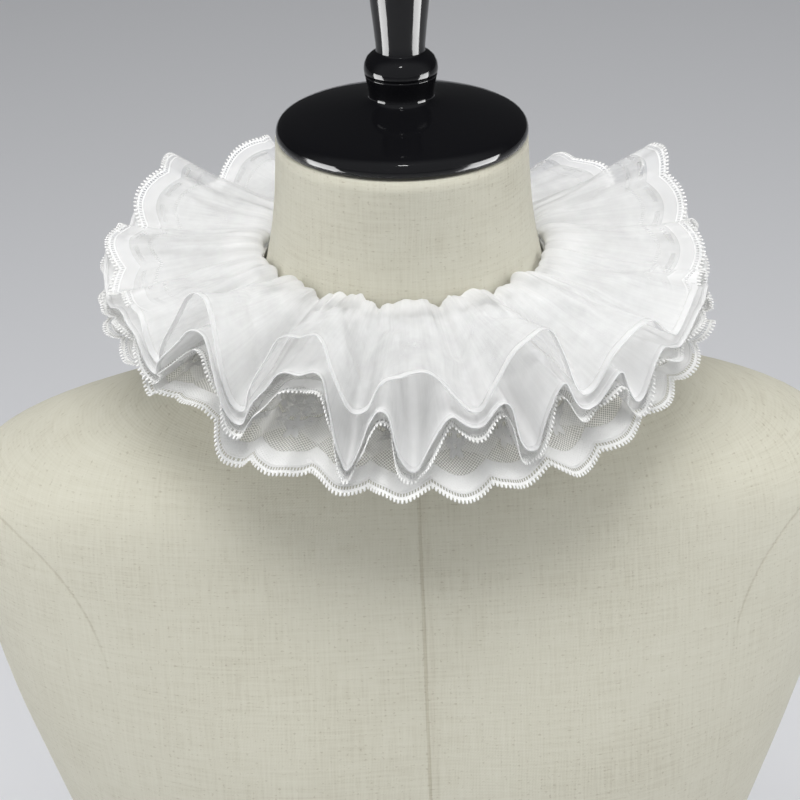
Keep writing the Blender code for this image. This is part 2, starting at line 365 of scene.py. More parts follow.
# Painted shade: a darker stripe in the linen's colour beside the front seam, below the collar, standing
# in for the shade of a fold.
fold_shade = across.line(2.2, 2.4, 1.4) * under_collar * 0.35
beside, above = x.size() - ARM_MIDDLE, z - ARM_HEIGHT
armhole = (beside * beside + above * above).root()
arm_seam = armhole.line(ARM_RADIUS, 0.6, 0.4) * above.soft(0, ARM_SEAM_FADE) * 0.8
seams = front_seam.at_least(arm_seam)
tone = (tone - specks * SPECK_TONE - seams * SEAM_TONE - fold_shade * FOLD_SHADE_TONE).at_least(0.0)
colour = blend_colours(tree, tone, LINEN_DARK, LINEN_MID, LINEN_PALE)
tree.links.new(colour, shader.inputs["Base Color"])
raise_relief(tree, shader, weave * 0.55 + weft_slubs * 0.5 + warp_slubs * 0.4 - seams * 2.4, 0.22, 0.55)

# %% The cover, smooth over the form
COVER_LEVELS = 2
SAME_POINT = 0.001 * MM
RIM_ANGLE = radians(50)


def rings_of(bm):
    """The points of a lofted body by height, each ring in order round the neck axis from the back."""
    rings = {}
    for vert in bm.verts:
        rings.setdefault(round(vert.co.z, 4), []).append(vert)
    for ring in rings.values():
        ring.sort(key=lambda vert: np.arctan2(round(vert.co.x, 6) + 0.0, -vert.co.y))
    return dict(sorted(rings.items()))


def arcs_from_front(ring):
    """How far each point of a ring lies from the centre front, measured round the ring."""
    front = min(range(len(ring)), key=lambda i: abs(np.arctan2(ring[i].co.x, -ring[i].co.y)))
    steps = [(ring[i].co - ring[i - 1].co).length for i in range(1, len(ring))]
    places = np.concatenate([[0.0], np.cumsum(steps)])
    return places - places[front]


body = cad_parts["form_torso"]
bm = bmesh.new()
bm.from_mesh(body.data)
bmesh.ops.remove_doubles(bm, verts=bm.verts, dist=SAME_POINT)
ends = [face for face in bm.faces if abs(face.normal.z) > 0.9999]
bmesh.ops.dissolve_faces(bm, faces=ends)
rings = rings_of(bm)
counted = {vert: (k, i) for k, ring in enumerate(rings.values()) for i, vert in enumerate(ring)}
diagonals = [
    edge for edge in bm.edges if all(a != b for a, b in zip(*(counted[vert] for vert in edge.verts)))
]
bmesh.ops.dissolve_edges(bm, edges=diagonals, use_verts=False)
four_sided = sum(len(face.verts) == 4 for face in bm.faces)
print(f"linen_cover: {four_sided} of {len(bm.faces)} faces have four sides")
uv = bm.loops.layers.uv.new("cloth")
spots = {}
rise = 0.0
fronts = [min(ring, key=lambda vert: vert.co.y) for ring in rings.values()]
for k, ring in enumerate(rings.values()):
    rise += (fronts[k].co - fronts[k - 1].co).length if k else 0.0
    for vert, arc in zip(ring, arcs_from_front(ring)):
        spots[vert] = (arc, rise)
for face in bm.faces:
    on_right = face.calc_center_median().x < 0
    for loop in face.loops:
        arc, height = spots[loop.vert]
        at_back = abs(loop.vert.co.x) < 10 * SAME_POINT and loop.vert.co.y > 0
        loop[uv].uv = (-abs(arc) if at_back and on_right else abs(arc) if at_back else arc, height)
rims = bm.edges.layers.float.new("crease_edge")
for edge in bm.edges:
    if len(edge.link_faces) == 2 and edge.calc_face_angle() > RIM_ANGLE:
        edge[rims] = 1.0
cover = new_object("linen_cover", bm, linen)
smooth = cover.modifiers.new("smooth", "SUBSURF")
smooth.levels = smooth.render_levels = COVER_LEVELS
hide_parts("form_torso")
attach(cover, "root")

# %% [markdown]
# ## The neck cap and handle
#
# A black lacquered turning closes the neck: a low dome with a rounded rim, a bead with a cut groove
# and a flared handle. One profile, spun round the neck, gives it, with close pairs of points where
# the turner's tool left an edge.

# %% Lacquered cap
LACQUER = (0.005, 0.005, 0.006, 1)
CAP_STEPS = 96
CAP_PROFILE = (  # radius and height, mm
    (50.2, 0.0), (51.2, 0.2), (52.0, 1.0), (52.4, 2.4), (52.4, 3.8), (51.9, 5.6), (50.8, 7.1),
    (49.0, 8.1), (45.0, 9.4), (39.5, 10.9), (32.0, 12.7), (24.0, 14.4), (18.0, 15.7), (14.4, 16.6),
    (13.6, 17.2), (13.3, 18.2), (13.4, 20.0), (13.9, 22.8), (14.6, 25.6), (14.95, 27.2), (15.0, 27.5),
    (14.7, 27.8), (15.05, 28.1), (15.25, 28.8), (15.3, 30.0), (15.0, 32.2), (13.9, 34.5), (12.2, 36.1),
    (10.6, 36.9), (10.15, 37.2), (10.1, 37.9), (10.3, 41.0), (11.2, 50.0), (12.3, 60.0), (13.2, 70.0),
    (13.8, 80.0), (13.6, 86.0), (12.4, 89.6), (9.8, 91.9), (5.6, 93.3), (0.0, 93.7),
)
TURNED_EDGE = radians(60)
POLISHED, WIPED = 0.07, 0.10  # the roughness of clean lacquer, and what a wipe mark adds

lacquer = principled("lacquer", LACQUER, 0.10, Specular_IOR_Level=0.35)
tree = lacquer.node_tree
shader = tree.nodes["Principled BSDF"]
x, y, z = object_place(tree)
orange_peel = flecks(tree, x * 0.16 + z * 0.1, y * 0.16 + z * 0.12, 2.0)
wipe_marks = flecks(tree, x * 0.03, y * 0.03 + z * 0.05, 5.0)
tree.links.new((wipe_marks.soft(0.45, 0.8) * WIPED + POLISHED).socket, shader.inputs["Roughness"])
raise_relief(tree, shader, orange_peel, 0.12, 0.35)

cap_low, cap_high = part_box("form_neck_cap")
bm = bmesh.new()
outline = [bm.verts.new((radius * MM, 0, height * MM)) for radius, height in CAP_PROFILE]
runs = [bm.edges.new(pair) for pair in zip(outline, outline[1:])]
bmesh.ops.spin(
    bm, geom=outline + runs, axis=(0, 0, 1), cent=(0, 0, 0), angle=2 * pi,
    steps=CAP_STEPS, use_merge=True,
)
bmesh.ops.remove_doubles(bm, verts=bm.verts, dist=SAME_POINT)
bmesh.ops.holes_fill(bm, edges=bm.edges)
bmesh.ops.recalc_face_normals(bm, faces=bm.faces)
middle = ((cap_low[0] + cap_high[0]) / 2, (cap_low[1] + cap_high[1]) / 2, cap_low[2])
bmesh.ops.translate(bm, verts=bm.verts, vec=middle)
cap = new_object("lacquered_cap", bm, lacquer)
cap.data.set_sharp_from_angle(angle=TURNED_EDGE)
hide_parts("form_neck_cap")
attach(cap, "root")

# %% [markdown]
# ## Folds and ruffles
#
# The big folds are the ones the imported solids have, so the same tables give them here. A fold's row
# has the azimuth and height in mm of its crest and of the trough after it, then what it adds to the
# strip's width, the degrees that its hem turns round the neck, and the share that its lower tiers sink.
# A ruffle's row, from the top one down, has its seam's height, its reach as a share of the strip, how
# far it drops, hangs and sags, whether it has tubes, its puff and lean at the seam, its scallops and
# the number of its columns. The tubes are the narrow ones that the two middle ruffles form under the
# crests at the front. Between a crest and the next trough the hem follows a cosine, drawn a little
# tighter in the trough.

# %% The tables of folds and ruffles
BAND_THICKNESS = 1.2 * MM
BAND_TOP = 3.6 * MM
BAND_BOTTOM = -8.6 * MM
CLEARANCE = 0.3 * MM
CLOTH = 1.0 * MM
STRIP_WIDTH = 62 * MM
SCALLOP_DEPTH = 4.5 * MM
BEND = 1.1
PUFF_RISE = 0.035
PUFF_FADE = 1.5
PUFF_ROUND = 0.6
NOTCH = 0.25
TIGHTNESS = 1.35

Fold = namedtuple("Fold", "crest_at crest trough_at trough extra twist hang")
FOLDS = (
    Fold(-171, 20, -160, 0, 1, 2, 0.0),
    Fold(-149, 20, -137, 2, 2, -2, 0.0),
    Fold(-123, 28, -111, 0, 3, 2, 0.0),
    Fold(-97, 12, -86, -4, 4, -2, 0.0),
    Fold(-74, 4, -60, -12, -1, 2, 0.0),
    Fold(-47, 24, -38, -19, 0, 1, 0.05),
    Fold(-23, 19, -13, -12, -1, 1, 0.8),
    Fold(-1, 6, 10, -13, 0, -1, 1.0),
    Fold(20, 16, 33, -16, 0, 1, 0.95),
    Fold(47, 5, 59, -9, 1, -2, 0.6),
    Fold(71, 4, 81, -8, 4, 2, 0.05),
    Fold(93, 11, 102, -3, 3, -2, 0.0),
    Fold(112, 30, 125, 0, 9, 1, 0.0),
    Fold(138, 12, 150, -2, 1, -2, 0.0),
    Fold(163, 15, 176, 1, 1, 1, 0.0),
)
Tube = namedtuple("Tube", "azimuth depth half")
TUBES = (
    Tube(-15, 21, 5.0),
    Tube(-1, 30, 7.0),
    Tube(20, 34, 7.0),
    Tube(47, 21, 7.0),
)
Ruffle = namedtuple("Ruffle", "name seam reach drop hung sag tubes puff lean scallops columns")
RUFFLES = (
    Ruffle("ruffle_organza_upper", 3.8, 1.00, 0.0, 0, 0.0, 0, 9.0, 3.4, 0, 1180),
    Ruffle("ruffle_organza_lower", 0.6, 1.02, 3.6, 2, 0.3, 1, 7.0, 0.0, 0, 1180),
    Ruffle("ruffle_lace_upper", -2.6, 1.03, 8.2, 2, 0.4, 1, 5.0, 0.0, 38, 1178),
    Ruffle("ruffle_lace_lower", -5.8, 1.03, 12.0, 24, 0.85, 0, 3.5, 0.0, 32, 1152),
)
Knot = namedtuple("Knot", "azimuth height way low extra twist hang")


def ease(share):
    return 0.5 - 0.5 * cos(pi * share)


def knots_round():
    """The crests and troughs in order, over three turns, so that every azimuth lies between two."""
    knots = []
    for turns in (-360, 0, 360):
        for i, fold in enumerate(FOLDS):
            before, after = FOLDS[i - 1], FOLDS[(i + 1) % len(FOLDS)]
            lows = (before.trough + fold.trough) / 2
            between = [(a + b) / 2 for a, b in zip(fold[4:], after[4:])]
            knots.append(Knot(fold.crest_at + turns, fold.crest, 0, lows, *fold[4:]))
            knots.append(Knot(fold.trough_at + turns, fold.trough, 1, fold.trough, *between))
    return knots


KNOTS = knots_round()
KNOT_AZIMUTHS = [knot.azimuth for knot in KNOTS]


def wave_at(azimuth):
    """The wave at any azimuth in degrees, eased between the crest and the trough on its two sides."""
    i = int(np.searchsorted(KNOT_AZIMUTHS, azimuth, side="right")) - 1
    before, after = KNOTS[i], KNOTS[i + 1]
    share = (azimuth - before.azimuth) / (after.azimuth - before.azimuth)
    crest, trough, way = (before, after, share) if before.way == 0 else (after, before, 1 - share)
    height = crest.height + (trough.height - crest.height) * ease(way**TIGHTNESS)
    eased = [a + (b - a) * ease(share) for a, b in zip(before[3:], after[3:])]
    return Knot(azimuth, height, way, *eased)


def tube_at(azimuth):
    """How far in mm the tubes hang at an azimuth in degrees."""
    offs = [min(1, abs(azimuth - tube.azimuth) / tube.half) for tube in TUBES]
    return sum(tube.depth * (1 - ease(off)) for tube, off in zip(TUBES, offs))


# %% [markdown]
# ## The neckband
#
# A woven elastic tape, hidden under the puffs, carries the gathers. It is ribbed along its length and
# crossed by the gathering stitches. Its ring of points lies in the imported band, a little clear of the
# neck, whose oval at any height comes from a short table.

# %% Tape and the neck's oval
TAPE_COLUMNS = 360
TAPE_THICKNESS = 1.0 * MM
RIB_MM = 1.15
NECK_LEVELS = (  # height, half width, and depth in front of the middle and behind it, mm
    (440, 71.8, 62.7, 64.3),
    (456, 62.5, 60.8, 60.8),
    (470, 59.6, 59.8, 58.8),
    (488, 55.4, 57.6, 54.2),
)
NECK_EASE = 0.6 * MM


def neck_radius(azimuth, height):
    """The neck's radius at an azimuth in radians and a height over the seam."""
    levels = np.array(NECK_LEVELS, float)
    at = (SEAM_HEIGHT + height) / MM
    width, front, back = [np.interp(at, levels[:, 0], levels[:, k]) for k in (1, 2, 3)]
    depth = front if cos(azimuth) > 0 else back
    return MM / sqrt((sin(azimuth) / width) ** 2 + (cos(azimuth) / depth) ** 2)


def band_radius(azimuth, height):
    """The middle of the band's wall."""
    return neck_radius(azimuth, height) + NECK_EASE + BAND_THICKNESS / 2


def cloth_grid(name, points, lengths, depths, *materials):
    """A closed ring of cloth from rows of points, with a UV map in metres along and down the strip."""
    rows, columns = len(points), len(points[0])
    bm = bmesh.new()
    uv = bm.loops.layers.uv.new("cloth")
    bmesh.ops.create_grid(bm, x_segments=columns, y_segments=rows - 1, size=0.5)
    cells = {}
    for vert in bm.verts:
        cells[vert] = round((vert.co.x + 0.5) * columns), round((vert.co.y + 0.5) * (rows - 1))
    for face in bm.faces:
        for loop in face.loops:
            column, row = cells[loop.vert]
            loop[uv].uv = (column / columns * lengths, depths[row][column % columns])
    for vert, (column, row) in cells.items():
        vert.co = points[row][column % columns]
    bmesh.ops.remove_doubles(bm, verts=bm.verts, dist=SAME_POINT / 10)
    bmesh.ops.recalc_face_normals(bm, faces=bm.faces)
    return new_object(name, bm, *materials)


TAPE_WHITE = (0.90, 0.90, 0.89, 1)
tape_finish = principled("tape", TAPE_WHITE, 0.85, Sheen_Weight=0.1)
tree = tape_finish.node_tree
across, along = cloth_place(tree)
rib = along.arch(RIB_MM)
cross = across.wave(0.9) * along.wave(RIB_MM)
raise_relief(tree, tree.nodes["Principled BSDF"], rib * 0.8 + cross * 0.2, 0.35, 0.8)

tape_rows = np.linspace(BAND_BOTTOM, BAND_TOP, 9)
around = [2 * pi * i / TAPE_COLUMNS for i in range(TAPE_COLUMNS)]
tape_points = [
    [(band_radius(a, h) * sin(a), -band_radius(a, h) * cos(a), SEAM_HEIGHT + h) for a in around]
    for h in tape_rows
]
tape_depths = [[h - BAND_BOTTOM] * TAPE_COLUMNS for h in tape_rows]
tape_length = 2 * pi * sum(band_radius(a, 0) for a in around) / TAPE_COLUMNS
tape = cloth_grid("elastic_tape", tape_points, tape_length, tape_depths, tape_finish)
wall = tape.modifiers.new("wall", "SOLIDIFY")
wall.thickness = TAPE_THICKNESS
wall.offset = 0.0
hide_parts("collar_band")
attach(tape, "root")
print(f"band {tape_length / MM:.0f} mm round")

# %% [markdown]
# ## Gathers, ripples and creases
#
# A strip nearly three times as long as the neckline is drawn up on a thread, so fine pleats crowd at
# the seam and run out into the big folds. Each row of GATHERS is one size of pleat, finest first.
# CREASES are the soft troughs and ridges that handling leaves, listed one by one: each runs straight
# from one spot to another, given as an azimuth and a share of the way out. All ruffles share them, as
# layers pressed together do, and each adds only its own finest pleats.

# %% The small shapes of the cloth
Gather = namedtuple("Gather", "count depth reach wander shared")
GATHERS = (
    Gather(153, 0.45, 0.10, 1.6, False),
    Gather(101, 0.62, 0.20, 2.2, False),
    Gather(61, 0.75, 0.42, 2.6, True),
    Gather(37, 1.05, 0.75, 3.0, True),
    Gather(23, 1.15, 1.10, 2.4, True),
)
Crease = namedtuple("Crease", "start start_out end end_out width depth")
CREASES = (
    Crease(-62, 0.10, -52, 0.62, 4.2, -2.2),
    Crease(-55, 0.12, -44, 0.85, 2.6, 1.6),
    Crease(-66, 0.15, -61, 1.00, 2.2, -1.7),
    Crease(-70, 0.20, -84, 0.80, 3.8, -1.9),
    Crease(-80, 0.25, -75, 0.95, 2.4, 1.5),
    Crease(-87, 0.12, -86, 1.00, 2.0, -1.8),
    Crease(-90, 0.15, -95, 0.95, 2.8, 1.5),
    Crease(-104, 0.12, -99, 0.70, 4.2, -1.9),
    Crease(-118, 0.20, -126, 0.85, 3.2, -1.7),
    Crease(-131, 0.12, -129, 0.95, 2.2, 1.4),
    Crease(-142, 0.15, -136, 0.75, 3.6, 1.6),
    Crease(-158, 0.20, -166, 0.80, 3.2, -1.6),
    Crease(-176, 0.15, -170, 0.65, 4.0, -1.7),
    Crease(-33, 0.10, -28, 0.60, 3.2, -1.8),
    Crease(-24, 0.18, -17, 0.75, 2.8, 1.4),
    Crease(-9, 0.10, -14, 0.55, 3.4, -1.6),
    Crease(-5, 0.45, -2, 1.00, 2.2, 1.2),
    Crease(3, 0.12, 7, 0.70, 2.4, 1.4),
    Crease(14, 0.30, 14, 1.00, 2.0, -1.8),
    Crease(17, 0.10, 11, 0.50, 3.2, -1.5),
    Crease(24, 0.12, 30, 0.90, 2.8, 1.7),
    Crease(27, 0.30, 41, 0.55, 4.4, -2.2),
    Crease(38, 0.12, 43, 0.45, 3.0, 1.5),
    Crease(50, 0.25, 54, 0.95, 1.9, -1.6),
    Crease(52, 0.30, 57, 0.90, 1.7, 1.4),
    Crease(57, 0.25, 67, 0.60, 4.0, 1.8),
    Crease(66, 0.12, 74, 0.90, 2.8, -1.6),
    Crease(83, 0.20, 78, 0.80, 3.6, 1.6),
    Crease(96, 0.15, 90, 0.70, 3.2, -1.7),
    Crease(108, 0.15, 116, 0.90, 3.2, 1.6),
    Crease(122, 0.20, 119, 0.75, 4.0, -1.9),
    Crease(135, 0.15, 143, 0.80, 3.6, 1.5),
    Crease(156, 0.20, 151, 0.75, 3.2, -1.7),
    Crease(170, 0.15, 174, 0.70, 3.6, 1.5),
    Crease(-50, 0.45, -38, 0.62, 3.0, -1.6),
    Crease(-30, 0.55, -20, 0.38, 2.6, 1.5),
    Crease(-17, 0.62, -10, 0.82, 1.8, 1.3),
    Crease(-12, 0.20, -3, 0.42, 2.4, -1.5),
    Crease(5, 0.70, 13, 0.48, 2.2, 1.5),
    Crease(18, 0.42, 27, 0.78, 2.0, -1.7),
    Crease(22, 0.62, 33, 0.70, 2.2, 1.4),
    Crease(33, 0.15, 38, 0.80, 2.4, -1.5),
    Crease(44, 0.68, 50, 0.40, 2.6, 1.5),
    Crease(62, 0.30, 60, 0.90, 2.0, -1.5),
    Crease(70, 0.75, 80, 0.55, 2.8, 1.6),
    Crease(-74, 0.70, -66, 0.45, 2.6, 1.5),
)
FINE_ON_TOP = 0.45
FINE_BELOW = 1.15
RIPPLE_MM = 1.5
SOFT_MM = 0.7
SOFT_SIZE = 17 * MM
SEAM_FLAT = 0.03  # the share of the reach over which the gathers rise at the seam
DEGREE_MM = radians(1) * 95  # a degree's length at the ruffles' middle, for the creases


def hem_columns(ruffle):
    """Azimuths at even steps along a ruffle's hem, and the hem's length."""
    measured = np.linspace(-180, 180, 1441)
    hem = np.array([ruffle_column(ruffle, a, np.array([ruffle.reach]))[0] for a in measured])
    along = np.concatenate([[0.0], np.cumsum(np.linalg.norm(np.diff(hem, axis=0), axis=1))])
    shares = np.arange(ruffle.columns) / ruffle.columns
    return np.interp(shares * along[-1], along, measured), along[-1]


def ruffle_column(ruffle, azimuth, shares):
    """The points of a ruffle at one azimuth in degrees, at shares of the top ruffle's reach."""
    wave = wave_at(azimuth)
    seam = ruffle.seam * MM
    drop = ruffle.drop + ruffle.hung * wave.hang + ruffle.tubes * tube_at(azimuth)
    hem = (wave.low + (1 - ruffle.sag) * (wave.height - wave.low) - drop) * MM
    start = band_radius(radians(azimuth), seam) + BAND_THICKNESS / 2 + CLEARANCE + CLOTH / 2
    reach = sqrt((STRIP_WIDTH + wave.extra * MM) ** 2 - (wave.height * MM) ** 2)
    puff = ruffle.puff * MM * (NOTCH + (1 - NOTCH) * max(0.0, cos(pi / 2 * wave.way)) ** PUFF_ROUND)
    rise = (1 - np.exp(-shares / PUFF_RISE)) * np.clip(1 - shares, 0, 1) ** PUFF_FADE
    lean = ruffle.lean * MM * shares / PUFF_RISE * np.exp(1 - shares / PUFF_RISE)
    height = seam + (hem - seam) * shares**BEND + puff * rise
    turned = np.radians(azimuth + wave.twist * shares)
    radius = start + reach * shares - lean
    return np.stack([radius * np.sin(turned), -radius * np.cos(turned), SEAM_HEIGHT + height], axis=1)


def gather_relief(strip_share, azimuths, out, tier):
    """Heights in mm of the pleats. The coarse ones follow the azimuth, so all tiers share them."""
    relief = np.zeros(np.broadcast(strip_share, out).shape)
    for k, gather in enumerate(GATHERS):
        at = azimuths / 360 if gather.shared else strip_share
        seed = k if gather.shared else k + 1.9 * tier
        fine = 1.0 if gather.shared else FINE_BELOW if tier else FINE_ON_TOP
        slow = np.sin(2 * pi * 5 * at + seed) + 0.7 * np.sin(2 * pi * 13 * at + 2.3 * seed)
        uneven = 0.75 + 0.35 * np.sin(2 * pi * 9 * at + 1.7 * seed)
        pleats = np.sin(2 * pi * gather.count * at + gather.wander * slow + 1.3 * k)
        relief += fine * gather.depth * uneven * np.exp(-out / gather.reach) * pleats
    return relief * (1 - np.exp(-out / SEAM_FLAT))


def crease_relief(azimuths, out):
    """Heights in mm of the creases, over arrays of azimuths in degrees and shares out."""
    relief = np.zeros(np.broadcast(azimuths, out).shape)
    for crease in CREASES:
        run_x = (crease.end - crease.start) * DEGREE_MM
        run_y = (crease.end_out - crease.start_out) * STRIP_WIDTH / MM
        off_x = (azimuths - crease.start) * DEGREE_MM
        off_y = (out - crease.start_out) * STRIP_WIDTH / MM
        held = np.clip((off_x * run_x + off_y * run_y) / (run_x**2 + run_y**2), 0, 1)
        gap = np.hypot(off_x - held * run_x, off_y - held * run_y)
        taper = 0.35 + 0.65 * np.sin(pi * np.clip(held, 0.02, 0.98))
        relief += crease.depth * taper * np.exp(-((gap / crease.width) ** 2))
    return relief


def ripple_relief(azimuths, out):
    """Heights in mm of the hem's smaller waves."""
    a = np.radians(azimuths)
    waves = np.sin(31 * a + 1.4 * np.sin(5 * a)) + 0.6 * np.sin(47 * a + 2.1 * np.sin(3 * a + 1))
    return RIPPLE_MM * waves * np.clip(out, 0, 1.2) ** 2.2 * 0.7


def soft_relief(points):
    """Heights in mm of the cloth's soft unevenness, from where each point is."""
    flat = points.reshape(-1, 3) / SOFT_SIZE
    found = [noise.noise(Vector(p)) for p in flat]
    return SOFT_MM * np.array(found).reshape(points.shape[:2])


def normals_of(points):
    """Unit normals of a closed ring of rows of points, pointing up and out of the collar."""
    along = np.roll(points, -1, axis=1) - np.roll(points, 1, axis=1)
    down = np.gradient(points, axis=0)
    normals = np.cross(along, down)
    return normals / np.maximum(np.linalg.norm(normals, axis=2, keepdims=True), 1e-12)


ROW_STOPS = (0.0, 0.34, 0.84, 1.0)  # shares of the rows
OUT_STOPS = (0.0, 0.14, 0.92, 1.0)  # the shares of the reach that they stand at
ROWS = 60
TRIMMED = "ruffle_organza_upper"
TRIM_SCALLOPS = 38
TRIM_START, TRIM_FULL = 0.42, 0.24  # cosines of the azimuths between which the hem turns to lace


def trim_share(facing):
    """The share of lace in the top ruffle's edge, where facing is the cosine of the azimuth."""
    share = np.clip((TRIM_START - facing) / (TRIM_START - TRIM_FULL), 0, 1)
    return share * share * (3 - 2 * share)


def laced_at(point):
    """Whether the top ruffle's edge is lace, rather than a hem, at a point."""
    return trim_share(-point[1] / sqrt(point[0] ** 2 + point[1] ** 2)) > 0.5


def ruffle_surface(ruffle, tier):
    """Rows of points of a ruffle, the depth in metres of each down the strip, and its hem's length."""
    azimuths, length = hem_columns(ruffle)
    shares = np.interp(np.linspace(0, 1, ROWS + 1), ROW_STOPS, OUT_STOPS)
    strip_share = np.arange(ruffle.columns) / ruffle.columns
    reach = np.full(ruffle.columns, ruffle.reach)
    scallops = ruffle.scallops or TRIM_SCALLOPS * (ruffle.name == TRIMMED)
    if scallops:
        dip = (1 - np.abs(np.sin(pi * scallops * strip_share))) * SCALLOP_DEPTH / STRIP_WIDTH
        reach -= dip if ruffle.scallops else dip * trim_share(np.cos(np.radians(azimuths)))
    out = shares[:, None] * reach[None, :]
    columns = [ruffle_column(ruffle, a, out[:, i]) for i, a in enumerate(azimuths)]
    points = np.stack(columns, axis=1)
    relief = gather_relief(strip_share[None, :], azimuths[None, :], out, tier)
    relief += crease_relief(azimuths[None, :], out) + ripple_relief(azimuths[None, :], out)
    relief += soft_relief(points) * np.clip(out / 0.2, 0, 1)
    normals = normals_of(points)
    normals *= np.sign(normals[..., 2:].mean())
    return points + normals * relief[..., None] * MM, out * STRIP_WIDTH, length


# %% [markdown]
# ## The worked edge
#
# A lace edge is a row of arches. From the edge inwards come a firm band that the picots stand on, an
# open ladder of fine bars, a cord and a close-worked border. The lace ruffles have it all round, and
# the top ruffle has it in place of a hem at the sides and back, where the photograph shows picots.

# %% A formula for the edge
FIRM_MM = 1.1
LADDER_AT, LADDER_WIDE = 1.7, 1.0
CORD_AT, CORD_WIDE = 2.7, 0.7
BORDER_MM = 8.6
BAR_MM = 1.15


def arched_edge(across, along, depth, pitch):
    """The distance in mm from the arched edge: depth is the strip's, pitch an arch's width."""
    return along * -1 + depth - across.arch(pitch).flipped() * (SCALLOP_DEPTH / MM)


def worked_edge(across, edge):
    """What is solid, the gaps and bars of the ladder, and the border, each from 0 to 1."""
    bars = across.arch(BAR_MM).soft(0.55, 0.8)
    ladder = edge.line(LADDER_AT, LADDER_WIDE, 0.12)
    firm = edge.soft(FIRM_MM + 0.2, FIRM_MM)
    solid = firm.at_least(edge.line(CORD_AT, CORD_WIDE)).at_least(bars * ladder)
    border = edge.soft(CORD_AT - 0.5, CORD_AT - 0.2) * edge.soft(BORDER_MM + 0.5, BORDER_MM)
    return solid, ladder * bars.flipped(), bars, border


# %% [markdown]
# ## Organza
#
# Organza is a crisp, sheer plain weave. One layer lets about half the light through, and near the
# seam, where three layers' worth is gathered into one, it is almost solid white. Its edge is turned
# and stitched in a narrow hem, which shows as a bright line. Where the top ruffle ends in lace, two
# rows of small openings lie above the lace's border.

# %% Organza and its hem
WHITE = (0.945, 0.945, 0.94, 1)
HEM_MM = 2.0
HEM_THICKNESS = 0.5 * MM
HEM_COVER = 0.62
ORGANZA_THREAD_MM = 0.34
DENSE_TO_MM = 22
LEAVES_AT = 11.5
RUNGS_AT = 17.5
TRIM_SOLID, TRIM_BORDER, TRIM_OPEN = 0.95, 0.60, 0.5
ORGANZA_BODY = (0.12, 0.50)  # of the upper ruffle and of the lower, whose tubes are fuller


def organza_finish(name, body, pitch=None):
    """Organza whose threads stop a share of the light, body, with lace arches where pitch is given."""
    finish = principled(
        name, WHITE, 0.5, Sheen_Weight=0.2, Sheen_Roughness=0.4, Specular_IOR_Level=0.15
    )
    tree = finish.node_tree
    shader = tree.nodes["Principled BSDF"]
    across, along = cloth_place(tree)
    threads = across.arch(ORGANZA_THREAD_MM) + along.arch(ORGANZA_THREAD_MM)
    cloudy = flecks(tree, across * 0.05, along * 0.07, 3.0)
    streaks = flecks(tree, across * 0.55, along * 0.03, 2.0)
    gathered = along.soft(DENSE_TO_MM, 2.0)
    cover_share = cloudy * 0.24 + streaks * 0.09 + gathered * 0.38 + threads * 0.05 + body
    relief = streaks * 0.6 + cloudy * 0.5 + threads * 0.2
    if pitch:
        x, y, _ = object_place(tree)
        at_sides = (y * -1 / (x * x + y * y).root()).soft(TRIM_START, TRIM_FULL)
        edge = arched_edge(across, along, STRIP_WIDTH / MM, pitch)
        solid, gaps, bars, border = worked_edge(across, edge)
        leaves = edge.line(LEAVES_AT, 1.4, 0.5) * across.arch(pitch / 2).soft(0.45, 0.7)
        rungs = edge.line(RUNGS_AT, 1.3, 0.3) * bars.flipped()
        openings = gaps.at_least(leaves * TRIM_OPEN).at_least(rungs * TRIM_OPEN)
        laced = (solid * TRIM_SOLID).at_least(border * TRIM_BORDER).at_least(cover_share)
        laced = laced * openings.flipped()
        cover_share = cover_share + (laced - cover_share) * at_sides
        relief = relief + solid * at_sides
    tree.links.new(cover_share.at_most(0.97).socket, shader.inputs["Alpha"])
    raise_relief(tree, shader, relief, 0.18, 0.6)
    return finish


hem_white = principled("organza_hem", WHITE, 0.5, Sheen_Weight=0.2, Alpha=HEM_COVER)
tree = hem_white.node_tree
across, along = cloth_place(tree)
stitch = across.arch(1.6).soft(0.25, 0.5) * along.line(0.5, 0.35, 0.2)
raise_relief(tree, tree.nodes["Principled BSDF"], stitch.flipped(), 0.3, 0.8)

# %% [markdown]
# ## Scalloped lace
#
# This lace is a fine net with parts worked nearly solid. The whole design is one formula of the place
# on the strip. Above the border of the worked edge, each arch has an eye of plain net with a flower
# hanging into it, then a second ladder, a wavy stem with leaves, and dots. Flowers and leaves like
# these are on countless laces, so the design is nobody's own.

# %% Lace
LACE_WHITE = (0.965, 0.963, 0.945, 1)
NET_WIDE, NET_TALL = 1.55, 1.15
NET_STRAND = (0.50, 0.28)  # how far across a mesh its strand fades out, and how far it is full
EYE_TALL = 9.5
FLOWER_MM = 4.1
RUNGS_2_AT = 22.5
STEM_AT, STEM_SWAY = 31.0, 3.0
DOTS_AT = 44.0
BORDER_COVER, GROUND_COVER, NET_COVER, LACE_BODY = 0.70, 0.36, 0.88, 0.22
LACE_DENSE_TO_MM = 18
LACE_THREAD_MM = 0.46


